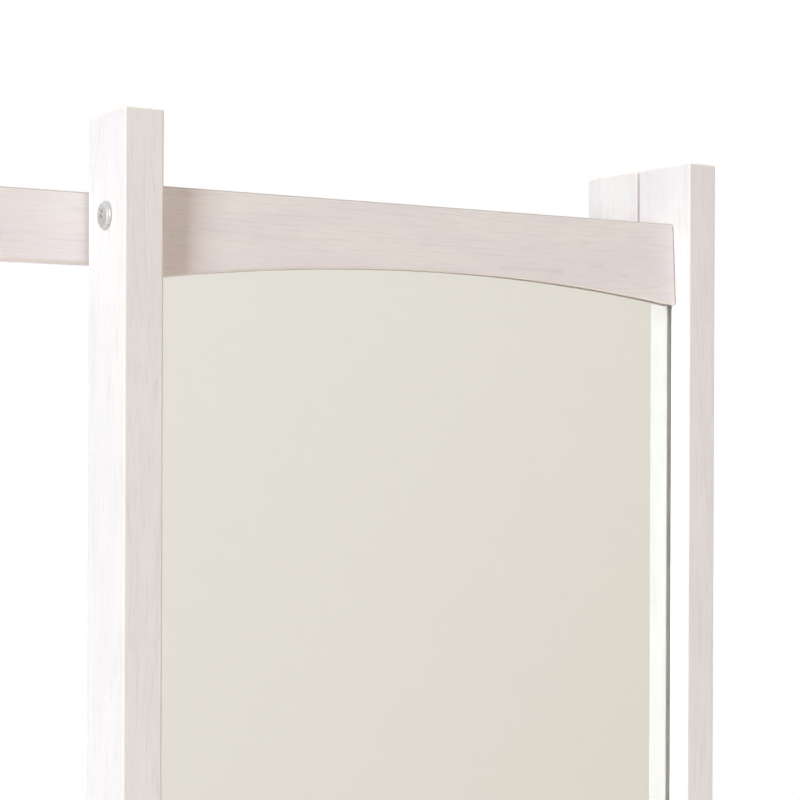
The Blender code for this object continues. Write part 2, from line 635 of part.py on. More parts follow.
def hinge(level, z, axis, steel):
    """Butt hinge: a rack leaf with two knuckles, a mirror leaf with one, a pin and four screws."""
    place = Vector((AXIS_X, AXIS_Y, z))
    third = LEAF_LENGTH / 6
    half = LEAF_LENGTH / 2
    past = half + FIT
    inner = third - FIT / 2
    outer = third + FIT / 2
    rack_knuckles = [(-half, -outer), (outer, half)]
    rack_rooms = [(-outer - FIT, outer + FIT)]
    leaf(f"{level}_hinge_rack_leaf", 1, place, rack_knuckles, rack_rooms, steel)
    mirror_knuckles = [(-inner, inner)]
    mirror_rooms = [(-past, FIT - inner), (inner - FIT, past)]
    leaf(f"{level}_hinge_mirror_leaf", -1, place, mirror_knuckles, mirror_rooms, steel, axis)

    head_base = half + FIT
    profile = [
        (0.0, -half), (PIN_RADIUS, -half), (PIN_RADIUS, head_base), (PIN_HEAD_RADIUS, head_base),
        (PIN_HEAD_RADIUS, head_base + PIN_HEAD_HEIGHT / 2), (PIN_RADIUS, head_base + PIN_HEAD_HEIGHT),
        (0.0, head_base + PIN_HEAD_HEIGHT),
    ]
    piece(f"{level}_hinge_pin", turned(profile, SMALL_SIDES), steel, place)

    for body, side, carrier in (("rack", 1, None), ("mirror", -1, axis)):
        for spot, end in (("top", 1), ("bottom", -1)):
            sink = side * (LEAF_GAP / 2 + SCREW_HEAD_SINK)
            at = (SCREW_X, AXIS_Y + sink, z + end * SCREW_RISE)
            screw(f"{level}_hinge_{body}_screw_{spot}", at, (0.0, side, 0.0), steel, carrier)


def main():
    """Clears the scene and builds the stand."""
    for item in list(bpy.data.objects):
        bpy.data.objects.remove(item, do_unlink=True)

    wood = finish("whitewashed_pine", (0.80, 0.75, 0.72), 0.55)
    silver = finish("silvered_glass", (0.90, 0.90, 0.88), 0.03, 1.0)
    hardboard = finish("hardboard", (0.30, 0.22, 0.16), 0.8)
    steel = finish("zinc_plated_steel", (0.56, 0.55, 0.54), 0.32, 1.0)
    plastic = finish("grey_plastic", (0.35, 0.35, 0.35), 0.5)

    axis = bpy.data.objects.new("mirror_swing_axis", None)
    axis.location = (AXIS_X, AXIS_Y, 0.0)
    bpy.context.scene.collection.objects.link(axis)

    rack_frame(wood, plastic, steel)
    mirror_frame(axis, wood, silver, hardboard, steel)
    for level, z in HINGE_LEVELS.items():
        hinge(level, z, axis, steel)


main()
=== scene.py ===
# %% [markdown]
# # A standing mirror with a hanger rack
# The object is a wide coat rack of whitewashed pine on two feet, with a tall framed mirror hinged to its
# right post. Its solids are ready made, at their real size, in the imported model. This lesson gives them
# their looks: the grain of the wood, the silvered glass, the plated fittings, and the soft light that they
# are shown in.

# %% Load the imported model
import json
import math

import bmesh
import bpy
from mathutils import Matrix, Vector

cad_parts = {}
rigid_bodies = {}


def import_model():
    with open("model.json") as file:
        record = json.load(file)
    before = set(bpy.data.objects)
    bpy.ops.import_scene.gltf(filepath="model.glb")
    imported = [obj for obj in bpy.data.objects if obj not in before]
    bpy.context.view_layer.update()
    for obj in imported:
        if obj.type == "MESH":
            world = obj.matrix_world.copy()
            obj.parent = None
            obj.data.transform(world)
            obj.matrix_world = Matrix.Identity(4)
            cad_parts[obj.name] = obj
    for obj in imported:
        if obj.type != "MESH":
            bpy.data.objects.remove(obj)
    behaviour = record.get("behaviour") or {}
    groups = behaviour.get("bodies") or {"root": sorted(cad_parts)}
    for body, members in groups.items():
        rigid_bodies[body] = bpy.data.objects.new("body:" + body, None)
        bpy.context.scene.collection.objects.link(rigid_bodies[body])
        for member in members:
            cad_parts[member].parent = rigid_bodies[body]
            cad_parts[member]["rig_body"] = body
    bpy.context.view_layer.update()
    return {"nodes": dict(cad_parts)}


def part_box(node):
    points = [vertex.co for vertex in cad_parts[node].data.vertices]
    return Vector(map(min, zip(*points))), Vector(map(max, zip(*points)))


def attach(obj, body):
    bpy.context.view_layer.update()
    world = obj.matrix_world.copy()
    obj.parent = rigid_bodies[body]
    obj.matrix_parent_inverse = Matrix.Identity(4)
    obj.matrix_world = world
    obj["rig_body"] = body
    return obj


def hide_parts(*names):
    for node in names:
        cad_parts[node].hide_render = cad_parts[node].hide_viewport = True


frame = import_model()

MM = 0.001
scene = bpy.context.scene
scene.view_settings.view_transform = "Standard"
scene.cycles.blur_glossy = 0.0     # keeps the light that the mirror throws on the post beside it sharp

# %% [markdown]
# ## The camera
# The picture is a close view of the top right of the stand, from the front left, with the camera a little
# below the tops of the posts. A camera can be placed by eye, or worked out from edges whose real sizes are
# known. Here it was worked out, so that each post, rail and gap falls on its own place in the picture. Its
# stand point is given from the top front left corner of the mirror's left post, the corner that is nearest
# to it.

# %% Camera
CAMERA_FROM_CORNER = Vector((-326.3, -763.3, -139.3)) * MM
CAMERA_YAW = 32.290      # degrees to the right of straight ahead
CAMERA_RISE = -0.07      # degrees up from level
CAMERA_ROLL = 0.22       # degrees, anticlockwise
CAMERA_LENS = 77.12      # mm, on Blender's 36 mm sensor

near_low, near_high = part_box("mirror_left_post")
near_corner = Vector((near_low.x, near_low.y, near_high.z))
camera = bpy.data.objects.new("camera", bpy.data.cameras.new("camera"))
camera.data.lens = CAMERA_LENS
camera.matrix_world = (
    Matrix.Translation(near_corner + CAMERA_FROM_CORNER)
    @ Matrix.Rotation(math.radians(-CAMERA_YAW), 4, "Z")
    @ Matrix.Rotation(math.radians(90 + CAMERA_RISE), 4, "X")
    @ Matrix.Rotation(math.radians(CAMERA_ROLL), 4, "Z")
)
scene.collection.objects.link(camera)
scene.camera = camera
print(f"the camera stands at {[round(x, 3) for x in camera.matrix_world.translation]} m")

# %% [markdown]
# ## Helpers for materials
# Colours are easiest to write as the hex values that a paint program shows, which are sRGB. Blender's
# shaders work with linear light, so one function converts them. A second one adds a node, sets its
# properties and fills its inputs, either with a value or with a link from another node's output, so that a
# material reads from top to bottom.

# %% Colours and nodes
def linear(hex_colour):
    """An sRGB hex colour as the linear RGBA value that shader sockets take."""
    channels = [int(hex_colour[i:i + 2], 16) / 255 for i in (1, 3, 5)]
    return [c / 12.92 if c <= 0.04045 else ((c + 0.055) / 1.055) ** 2.4 for c in channels] + [1.0]


def add(tree, kind, inputs=None, **settings):
    """Adds one node. An input is a value, a hex colour, or an output of another node, which is linked."""
    node = tree.nodes.new(kind)
    for name, value in settings.items():
        setattr(node, name, value)
    for name, value in (inputs or {}).items():
        if isinstance(value, bpy.types.NodeSocket):
            tree.links.new(value, node.inputs[name])
        else:
            node.inputs[name].default_value = linear(value) if isinstance(value, str) else value
    return node


# A Mix node's number, vector and colour sockets share their names, so its colour ones go by number.
MIX_FACTOR, MIX_A, MIX_B, MIX_RESULT = 0, 6, 7, 2


def new_material(name):
    """A named material, with its node tree and its Principled shader."""
    material = bpy.data.materials.new(name)
    material.use_nodes = True
    return material, material.node_tree, material.node_tree.nodes["Principled BSDF"]


print("white is", linear("#FFFFFF"))

# %% [markdown]
# ## Floor, wall and light
# The stand is shown on white, as in a catalogue. The world is white to the camera, and to mirrors and
# glass, and a gentler fill to everything else, strongest from above, as under a pale ceiling. That way the
# background costs the wood none of its colour. The floor is a pale disc that fades out towards its rim, so
# it keeps the shadow and has no edge.

# %% World
FILL_COLOUR = "#FFEBD8"
FILL_LEFT, FILL_RIGHT = 0.02, 0.47     # the lamp stands on the left, so the fill comes from the right
ABOVE_COLOUR = "#FFF8F0"
ABOVE_LEVEL = 2.1
ABOVE_FROM, ABOVE_FULL = 0.60, 0.95    # how far up, as the sine of the height above the horizon

world = bpy.data.worlds.new("studio")
scene.world = world
world.use_nodes = True
tree = world.node_tree
rays = add(tree, "ShaderNodeLightPath").outputs
shown = rays["Is Camera Ray"]
for kind in ("Is Glossy Ray", "Is Transmission Ray"):
    shown = add(tree, "ShaderNodeMath", {0: shown, 1: rays[kind]}, operation="MAXIMUM").outputs[0]
towards = add(tree, "ShaderNodeTexCoord").outputs["Generated"]
towards = add(tree, "ShaderNodeSeparateXYZ", {0: towards}).outputs
level = add(tree, "ShaderNodeMapRange", {
    "Value": towards["X"], "From Min": -1.0, "From Max": 1.0,
    "To Min": FILL_LEFT, "To Max": FILL_RIGHT}).outputs["Result"]
rise = add(tree, "ShaderNodeMapRange", {
    "Value": towards["Z"], "From Min": ABOVE_FROM, "From Max": ABOVE_FULL}).outputs["Result"]
around = add(tree, "ShaderNodeBackground", {"Color": FILL_COLOUR, "Strength": level})
above = add(tree, "ShaderNodeBackground", {"Color": ABOVE_COLOUR, "Strength": ABOVE_LEVEL})
fill = add(tree, "ShaderNodeMixShader", {0: rise, 1: around.outputs[0], 2: above.outputs[0]})
white = add(tree, "ShaderNodeBackground", {"Color": "#FFFFFF", "Strength": 1.0})
sky = add(tree, "ShaderNodeMixShader", {0: shown, 1: fill.outputs[0], 2: white.outputs[0]})
tree.links.new(sky.outputs[0], tree.nodes["World Output"].inputs["Surface"])
print(f"the world is white to the eye, with a fill of {FILL_LEFT} to {FILL_RIGHT} and {ABOVE_LEVEL} above")

# %% Floor
FLOOR_RADIUS = 4200 * MM
FLOOR_FADE_FROM, FLOOR_FADE_TO = 1800 * MM, 4000 * MM
FLOOR_SIDES = 96


def to_mesh(name, shape):
    """Stores a bmesh as a named mesh and frees it."""
    mesh = bpy.data.meshes.new(name)
    shape.to_mesh(mesh)
    shape.free()
    return mesh


# Matt paint, rolled on: it scatters the light evenly and mirrors nothing, so only the soft shadow shows.
floor_paint, tree, surface = new_material("pale_matt_floor")
surface.inputs["Base Color"].default_value = linear("#F7F6F4")
surface.inputs["Roughness"].default_value = 0.8
place = add(tree, "ShaderNodeTexCoord").outputs["Object"]
reach = add(tree, "ShaderNodeVectorMath", {0: place}, operation="LENGTH").outputs["Value"]
fade = add(tree, "ShaderNodeMapRange", {
    "Value": reach, "From Min": FLOOR_FADE_FROM, "From Max": FLOOR_FADE_TO, "To Min": 1.0, "To Max": 0.0,
}, interpolation_type="SMOOTHSTEP")
tree.links.new(fade.outputs["Result"], surface.inputs["Alpha"])

disc = bmesh.new()
bmesh.ops.create_circle(disc, cap_ends=True, segments=FLOOR_SIDES, radius=FLOOR_RADIUS)
floor = bpy.data.objects.new("floor", to_mesh("floor", disc))
floor.data.materials.append(floor_paint)
scene.collection.objects.link(floor)
print(f"the floor is {2 * FLOOR_RADIUS:.1f} m across")

# %% [markdown]
# A mirror has no colour of its own: what it shows is the room in front of it. In the picture that is one
# even, cream coloured surface, so a large plain wall stands far in front of the stand. It glows softly, as
# a lit wall does. Only the mirror and other shiny surfaces see it: the camera looks past it, and the wood
# takes its light from the lamp and the fill.

# %% Room wall in front of the mirror
WALL_DISTANCE = 5200 * MM
WALL_HALF_WIDTH = 16000 * MM
WALL_FOOT = -1500 * MM
WALL_TOP = 9000 * MM
WALL_COLOUR = "#F9F4F1"
WALL_DIM_COLOUR = "#ECE5DC"
WALL_GLOW = 1.12
WALL_SHADE = (0.18, 0, -0.14)     # per metre, how much dimmer the wall gets to the right and downwards


def glowing_card(name, corners, place, colour, glow):
    """A flat sheet that glows and that only shiny surfaces see."""
    mesh = bpy.data.meshes.new(name)
    mesh.from_pydata(corners, [], [range(len(corners))])
    card = bpy.data.objects.new(name, mesh)
    card.location = place
    card.visible_camera = False
    card.visible_diffuse = False
    material, _, surface = new_material(f"{name}_paint")
    surface.inputs["Base Color"].default_value = linear("#000000")
    surface.inputs["Specular IOR Level"].default_value = 0.0
    surface.inputs["Emission Color"].default_value = linear(colour)
    surface.inputs["Emission Strength"].default_value = glow
    mesh.materials.append(material)
    scene.collection.objects.link(card)
    return card


wall_corners = [
    (side * WALL_HALF_WIDTH, 0, height) for side, height in
    ((-1, WALL_TOP), (1, WALL_TOP), (1, WALL_FOOT), (-1, WALL_FOOT))]
wall = glowing_card("room_wall", wall_corners, (0, -WALL_DISTANCE, 0), WALL_COLOUR, WALL_GLOW)
tree = wall.data.materials[0].node_tree
place = add(tree, "ShaderNodeTexCoord").outputs["Object"]
shade = add(tree, "ShaderNodeVectorMath", {0: place, 1: WALL_SHADE}, operation="DOT_PRODUCT")
shade = add(tree, "ShaderNodeMapRange", {
    "Value": shade.outputs["Value"], "From Min": 0.0, "From Max": 1.0}).outputs["Result"]
paint = add(tree, "ShaderNodeMix", {
    MIX_FACTOR: shade, MIX_A: WALL_COLOUR, MIX_B: WALL_DIM_COLOUR}, data_type="RGBA").outputs[MIX_RESULT]
tree.links.new(paint, tree.nodes["Principled BSDF"].inputs["Emission Color"])
print(f"the wall is {2 * WALL_HALF_WIDTH:.0f} m wide and {WALL_DISTANCE:.1f} m in front")

# %% [markdown]
# One large soft lamp stands to the left, like a tall window. It makes the left sides of the posts the
# brightest faces and lays the shadow of the left post on the arched rail. The shadow starts sharply and
# then fades over a long way, which tells that the window is wide and reaches from the front round to the
# side. An area lamp of that size and place draws the same shadow. Bare metal would show so strong a lamp as
# a burnt-out patch, so shiny surfaces don't see it. They see a dimmer card of the same size right behind
# it.

# %% Key lamp
KEY_LEFT = 7000 * MM                         # from the middle of the arched rail to the lamp
KEY_FROM, KEY_TO = 2000 * MM, 4700 * MM      # how far in front of the rail the lamp begins and ends
KEY_LOW, KEY_HIGH = -1000 * MM, 4000 * MM    # how far it reaches below and above the rail
KEY_POWER = 690                              # watts
KEY_COLOUR = "#E8F6FF"

rail_low, rail_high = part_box("arched_top_rail")
lit_point = (rail_low + rail_high) / 2
key = bpy.data.objects.new("key_lamp", bpy.data.lights.new("key_lamp", "AREA"))
key.data.energy = KEY_POWER
key.data.shape = "RECTANGLE"
key.data.size = KEY_HIGH - KEY_LOW
key.data.size_y = KEY_TO - KEY_FROM
key.data.color = linear(KEY_COLOUR)[:3]
key.location = lit_point + Vector((-KEY_LEFT, -(KEY_FROM + KEY_TO) / 2, (KEY_LOW + KEY_HIGH) / 2))
key.rotation_euler = (0, math.radians(-90), 0)
key.visible_camera = False
key.visible_glossy = False
scene.collection.objects.link(key)
print(f"the key lamp hangs {key.location.z:.2f} m above the floor")

# %% Window for the metal to show
WINDOW_COLOUR = "#FFFFFF"
WINDOW_GLOW = 3.4              # brighter than white, but far below the lamp itself
WINDOW_BEHIND = 100 * MM       # so that it doesn't stand in the lamp's light

window_corners = [
    (0, along, height) for along, height in
    ((-KEY_TO, KEY_LOW), (-KEY_FROM, KEY_LOW), (-KEY_FROM, KEY_HIGH), (-KEY_TO, KEY_HIGH))]
window_place = lit_point - Vector((KEY_LEFT + WINDOW_BEHIND, 0, 0))
window = glowing_card("window", window_corners, window_place, WINDOW_COLOUR, WINDOW_GLOW)
window.visible_transmission = False
print(f"the metal sees a window {KEY_TO - KEY_FROM:.1f} m wide")

# %% [markdown]
# ## Whitewashed pine
# The wood is pine, planed, then rubbed with thinned white paint and sealed with a satin lacquer. The wash
# hides most of the colour. What stays is a slow change between cream and mauve, thin broken lines where the
# growth rings come to the surface, fine fibres along the board, and a few short dark dashes, which are
# resin canals cut open. One stretched noise could stand for all of it, but its lines would run as evenly as
# combed hair. Here the rings are the contour lines of a slow noise that is long in the direction of the
# grain. They meet, part and close, as on a sawn board.

# %% Patterns of the grain
# The texture's own Z runs along the grain, so each board's coordinates are turned to bring its length
# there.
GRAIN_TURN = {"X": (0, math.radians(-90), 0), "Y": (math.radians(90), 0, 0), "Z": (0, 0, 0)}
BOARD_SPREAD = 50.0       # how far apart two boards can lie in the noises, so that no two look the same
RING_FIELD_WIDTH = 24     # mm
RING_COUNT = 17.0         # contour lines between the lowest and the highest of the ring field

# The patterns, each with its size in mm across, across and along the grain. Real fibres are thinner than
# these, which are drawn coarser to show.
NOISE = ("ShaderNodeTexNoise", {"noise_dimensions": "4D"})
CELLS = ("ShaderNodeTexVoronoi", {"voronoi_dimensions": "4D"})
PINE_PATTERNS = {
    "tone": (NOISE, (12, 12, 60), {"Detail": 3.0}),
    "ring_field": (NOISE, (RING_FIELD_WIDTH, RING_FIELD_WIDTH, 420), {"Detail": 2.0, "Roughness": 0.35}),
    "ring_breaks": (NOISE, (2, 2, 26), {"Detail": 2.0}),
    "fibres": (NOISE, (0.6, 0.6, 11), {"Detail": 3.0, "Roughness": 0.6}),
    "canals": (CELLS, (3.4, 3.4, 7), {}),
}


def pine_patterns(tree, place, grain):
    """The outputs of each pattern on a board with its grain along one axis."""
    board = add(tree, "ShaderNodeObjectInfo").outputs["Random"]
    seed = add(tree, "ShaderNodeMath", {0: board, 1: BOARD_SPREAD}, operation="MULTIPLY").outputs[0]
    along = add(tree, "ShaderNodeMapping", {"Vector": place, "Rotation": GRAIN_TURN[grain]}).outputs[0]
    patterns = {}
    for name, ((kind, settings), size, inputs) in PINE_PATTERNS.items():
        scale = [1 / (length * MM) for length in size]
        cells = add(tree, "ShaderNodeMapping", {"Vector": along, "Scale": scale}).outputs[0]
        inputs = {"Vector": cells, "W": seed, "Scale": 1.0, **inputs}
        patterns[name] = add(tree, kind, inputs, **settings).outputs
    return patterns


print(f"a growth ring shows about every {RING_FIELD_WIDTH / RING_COUNT:.1f} mm")

# %% [markdown]
# The patterns, and the way that the surface faces, become marks. A mark runs from 0, where it doesn't show,
# to 1. A ring darkens slowly, stops short, and fades out here and there along its line. A resin canal is a
# dash at the middle of a cell, in the few cells whose random colour is dark enough. The eased edges, where
# the surface turns away from the board's flat faces, are tinted a warmer cream: partly the wash rubbed
# thin, partly painted warm light that the edges catch. The upper edges of the rails get a darker line of
# painted shade.

# %% Marks on the wood
CANAL_REACH = 0.1                # of a cell, so a dash is about 0.7 mm wide and 1.4 mm long
CANAL_SHARE = 0.10               # of the cells that hold a dash
GROOVE_LIGHT_FACES = "groove_painted_light"      # names the groove's faces, which get a near-white painted light

# For each mark, the values of its pattern at which it is 0 and 1. An edge's value is the cosine of its
# angle to the nearest flat face. The painted shade on the upper edges goes by how far the surface faces up.
MARK_SPAN = {
    "tone": (0.35, 0.65),
    "rings": (0.65, 1.0),
    "ring_breaks": (0.40, 0.62),
    "fibres": (0.45, 0.75),
    "canals": (CANAL_REACH, CANAL_REACH / 3),
    "edges": (0.985, 0.885),
    "top_edge_shade": (0.1, 0.5),
}


def pine_marks(tree, patterns, normal):
    """How strongly each mark shows at a place."""
    field = patterns["ring_field"]["Fac"]
    ring = add(tree, "ShaderNodeMath", {0: field, 1: RING_COUNT}, operation="MULTIPLY").outputs[0]
    ring = add(tree, "ShaderNodeMath", {0: ring}, operation="FRACT").outputs[0]
    chosen = add(tree, "ShaderNodeSeparateXYZ", {0: patterns["canals"]["Color"]}).outputs["X"]
    chosen = add(tree, "ShaderNodeMath", {0: chosen, 1: CANAL_SHARE}, operation="LESS_THAN").outputs[0]
    facing = add(tree, "ShaderNodeVectorMath", {0: normal}, operation="ABSOLUTE").outputs[0]
    facing = add(tree, "ShaderNodeSeparateXYZ", {0: facing}).outputs
    nearest = facing["X"]
    for axis in "YZ":
        nearest = add(tree, "ShaderNodeMath", {0: nearest, 1: facing[axis]}, operation="MAXIMUM").outputs[0]

    values = {name: patterns[name]["Fac"] for name in ("tone", "ring_breaks", "fibres")}
    values["rings"] = ring
    values["canals"] = patterns["canals"]["Distance"]
    values["edges"] = nearest
    values["top_edge_shade"] = add(tree, "ShaderNodeSeparateXYZ", {0: normal}).outputs["Z"]
    marks = {}
    for name, (none, full) in MARK_SPAN.items():
        inputs = {"Value": values[name], "From Min": none, "From Max": full}
        marks[name] = add(tree, "ShaderNodeMapRange", inputs, interpolation_type="SMOOTHSTEP").outputs[0]
    for name, limit in (("rings", marks["ring_breaks"]), ("canals", chosen), ("top_edge_shade", marks["edges"])):
        inputs = {0: marks[name], 1: limit}
        marks[name] = add(tree, "ShaderNodeMath", inputs, operation="MULTIPLY").outputs[0]
    # the groove's faces, whose near-white colour is painted light
    marks["groove_light"] = add(tree, "ShaderNodeAttribute", attribute_name=GROOVE_LIGHT_FACES).outputs["Fac"]
    return marks


print("marks from", ", ".join(MARK_SPAN))

# %% [markdown]
# The colour starts as the wash, and each mark lays its tint over it in turn. The lacquer dries a little
# rougher on the fibres than between them, and the fibres stand up by a fraction of a millimetre, so the
# shine breaks up along the grain.

# %% Colours of the wood
CREAM_WASH = {"X": "#EAE1DC", "Y": "#ECE5E2", "Z": "#ECE5E2"}
MAUVE_WASH = {"X": "#E7DBDB", "Y": "#E9E1E0", "Z": "#E9E1E0"}
RAIL_GRAIN = "X"                     # only rails get the painted shade on their upper edges
MARK_TINT = {                        # how strongly each mark covers what is under it, and its colour
    "rings": (0.30, "#CFC0BE"),
    "fibres": (0.34, "#D3C6C4"),
    "canals": (0.55, "#9C8A80"),
    # the eased edges' warmer cream is partly the wash rubbed thin and partly painted warm light
    "edges": (0.6, "#EBDFD2"),
    # a darker line along the rails' upper edges: painted shade
    "top_edge_shade": (0.9, "#B9AEAB"),
    # the groove's faces painted near white: painted light in the shaded groove
    "groove_light": (1.0, "#FFEFE3"),
}
LACQUER_ROUGHNESS = (0.44, 0.58)     # between the fibres and on them
LACQUER_IOR = 1.5
GRAIN_RELIEF = 0.05 * MM
RELIEF_STRENGTH = 0.5                # every relief in this lesson is softened by half


def whitewashed_pine(grain):
    """Planed pine, washed and lacquered: pale and satin to the eye, with its grain showing faintly."""
    material, tree, surface = new_material(f"whitewashed_pine_{grain.lower()}")
    coordinates = add(tree, "ShaderNodeTexCoord").outputs
    patterns = pine_patterns(tree, coordinates["Object"], grain)
    marks = pine_marks(tree, patterns, coordinates["Normal"])
    wash = {MIX_FACTOR: marks["tone"], MIX_A: CREAM_WASH[grain], MIX_B: MAUVE_WASH[grain]}
    colour = add(tree, "ShaderNodeMix", wash, data_type="RGBA").outputs[MIX_RESULT]
    for name, (strength, tint) in MARK_TINT.items():
        # Only the rails get the painted shade on their upper edges.
        if name == "top_edge_shade" and grain != RAIL_GRAIN:
            continue
        share = add(tree, "ShaderNodeMath", {0: marks[name], 1: strength}, operation="MULTIPLY").outputs[0]
        layer = {MIX_FACTOR: share, MIX_A: colour, MIX_B: tint}
        colour = add(tree, "ShaderNodeMix", layer, data_type="RGBA").outputs[MIX_RESULT]
    tree.links.new(colour, surface.inputs["Base Color"])

    smooth, rough = LACQUER_ROUGHNESS
    gloss = add(tree, "ShaderNodeMapRange", {"Value": marks["fibres"], "To Min": smooth, "To Max": rough})
    tree.links.new(gloss.outputs["Result"], surface.inputs["Roughness"])
    relief = add(tree, "ShaderNodeBump", {
        "Height": patterns["fibres"]["Fac"],
        "Distance": GRAIN_RELIEF, "Strength": RELIEF_STRENGTH}).outputs[0]
    tree.links.new(relief, surface.inputs["Normal"])
    surface.inputs["IOR"].default_value = LACQUER_IOR
    return material


pine = {grain: whitewashed_pine(grain) for grain in GRAIN_TURN}
print("pine with its grain along", ", ".join(pine))

# %% [markdown]
# ## A finished copy of each solid
# The solids already have the right shape, down to the eased edges of the boards, but their faces are flat
# shaded. A board's edge looks rounded only when the shading runs smoothly over it. So each solid is copied,
# its doubled points are welded, its shallow edges are shaded smooth and its large faces kept flat by
# weighted normals. The copy's origin goes to its middle, so that the wood's pattern is measured from the
# middle of each board.

# %% Finished copies
WELD = 0.01 * MM
SHARP_ANGLE = math.radians(40)


def bare_mesh(name, solid):
    """A copy of the solid's mesh without its stored normals, and with its doubled points welded."""
    mesh = bpy.data.meshes.new(name)
    mesh.from_pydata([v.co for v in solid.vertices], [], [f.vertices for f in solid.polygons])
    shape = bmesh.new()
    shape.from_mesh(mesh)
    bmesh.ops.remove_doubles(shape, verts=shape.verts, dist=WELD)
    shape.to_mesh(mesh)
    shape.free()
    return mesh


def place_piece(name, mesh, middle, node, material):
    """Makes a piece of a mesh measured from middle, which stands for a solid on the solid's own body."""
    mesh.materials.append(material)
    mesh.shade_smooth()
    mesh.set_sharp_from_angle(angle=SHARP_ANGLE)
    piece = bpy.data.objects.new(name, mesh)
    piece.location = middle
    scene.collection.objects.link(piece)
    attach(piece, frame["nodes"][node]["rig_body"])
    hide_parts(node)
    return piece


def finish_solid(node, material):
    """A smooth shaded copy of a solid, in its finish."""
    low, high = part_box(node)
    middle = (low + high) / 2
    mesh = bare_mesh(f"{node}_finished", frame["nodes"][node].data)
    mesh.transform(Matrix.Translation(-middle))
    piece = place_piece(f"{node}_finished", mesh, middle, node, material)
    piece.modifiers.new("even_shading", "WEIGHTED_NORMAL").keep_sharp = True
    return piece


GRAIN_OF = {"post": "Z", "rail": RAIL_GRAIN, "foot": "Y"}
board_pieces = {}
for node in sorted(frame["nodes"]):
    kind = node.split("_")[-1]
    if kind in GRAIN_OF:
        board_pieces[node] = finish_solid(node, pine[GRAIN_OF[kind]])
print(f"{len(board_pieces)} boards: {', '.join(board_pieces)}")

# %% [markdown]
# The glass and the board behind it sit in a groove that runs round the mirror's frame. The groove lies in
# shade, so its faces are painted near white, a painted light that shows through the glass as a lighter thin
# line beside the post. The faces of the groove are those that lie in the room of the two sheets, so they
# can be found by their middle and marked.

# %% Painted light in the grooves
GROOVE_ROOM = Vector((1.5, 1.5, 1.5)) * MM      # how far the groove may reach past the sheets

groove_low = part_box("mirror_glass")[0] - GROOVE_ROOM
groove_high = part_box("backing_board")[1] + GROOVE_ROOM
marked = 0
for node, piece in board_pieces.items():
    if not node.startswith(("mirror_", "arched_")):
        continue
    mark = piece.data.attributes.new(GROOVE_LIGHT_FACES, "FLOAT", "FACE")
    for face in piece.data.polygons:
        spot = face.center + piece.location
        if all(groove_low[i] < spot[i] < groove_high[i] for i in range(3)):
            mark.data[face.index].value = 1.0
            marked += 1
print(f"{marked} faces lie in the grooves")

# %% [markdown]
# ## The mirror
# A mirror is a sheet of clear float glass with a film of silver on its back. One shiny face would be
# simpler, but then the picture in it would start at the front of the glass. With a clear pane and a silver
# film behind it, the reflected post starts a little deeper, and the groove's wall shows between the post
# and its reflection.

# %% Float glass and silver
# Float glass is cast on molten tin, which leaves both faces flat and polished: clear, with a trace of
# green.
float_glass, _, surface = new_material("float_glass")
surface.inputs["Base Color"].default_value = linear("#FDFEFD")
surface.inputs["Roughness"].default_value = 0.0
surface.inputs["IOR"].default_value = 1.52
surface.inputs["Transmission Weight"].default_value = 1.0

# Silver is laid on the glass from a solution and is as smooth as the glass: a sharp picture, a little
# dimmed.
silver, _, surface = new_material("silver_film")
surface.inputs["Metallic"].default_value = 1.0
surface.inputs["Base Color"].default_value = linear("#E4E4E1")
surface.inputs["Roughness"].default_value = 0.0
print("made", float_glass.name, "and", silver.name)

# %% Pane and film
SILVER_THICKNESS = 0.2 * MM           # a real film is far thinner, and is drawn as a solid sheet of its own
SILVER_ARRIS = SILVER_THICKNESS / 4
SILVER_GAP = 0.05 * MM                # a hair of air, so that the two sheets don't share a face
PANE_ARRIS = 0.6 * MM                 # the ground bevel that takes the sharpness off a cut edge


def arrissed_sheet(name, size, arris):
    """A flat sheet, measured from its middle, with every edge bevelled."""
    shape = bmesh.new()
    bmesh.ops.create_cube(shape, size=1.0, matrix=Matrix.Diagonal((*size, 1.0)))
    bmesh.ops.bevel(shape, geom=shape.edges[:], offset=arris, segments=1, affect="EDGES")
    return to_mesh(name, shape)


glass_low, glass_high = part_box("mirror_glass")
glass_size = glass_high - glass_low
pane_depth = glass_size.y - SILVER_GAP - SILVER_THICKNESS
pane_middle = (glass_low + glass_high) / 2
pane_middle.y = glass_low.y + pane_depth / 2
pane_mesh = arrissed_sheet("mirror_pane", (glass_size.x, pane_depth, glass_size.z), PANE_ARRIS)
pane = place_piece("mirror_pane", pane_mesh, pane_middle, "mirror_glass", float_glass)

film_size = (glass_size.x - 2 * PANE_ARRIS, SILVER_THICKNESS, glass_size.z - 2 * PANE_ARRIS)
film_middle = (glass_low + glass_high) / 2
film_middle.y = glass_high.y - SILVER_THICKNESS / 2
film_mesh = arrissed_sheet("mirror_silver", film_size, SILVER_ARRIS)
film = place_piece("mirror_silver", film_mesh, film_middle, "mirror_glass", silver)
print(f"the pane is {glass_size.x / MM:.0f} x {glass_size.z / MM:.0f} x {pane_depth / MM:.1f} mm")

# %% [markdown]
# ## Hardboard, plated steel and plastic
# The board behind the glass is hardboard, pressed from wood fibres: brown, smooth, with long and short dark
# fibres. The bolts, nuts, hinges and screws are steel with a bright zinc plating, which is a cool grey with
# a soft shine. The floor glides are plain moulded plastic. None of them has a pattern with a direction, so
# one fine noise is enough for each, and it sets the colour together with the relief or the gloss.

# %% Hardboard
HARDBOARD_FIBRE = 1.5 * MM
HARDBOARD_SPAN = (0.3, 0.7)      # the values of the noise at which the fibres are darkest and lightest
HARDBOARD_RELIEF = 0.05 * MM

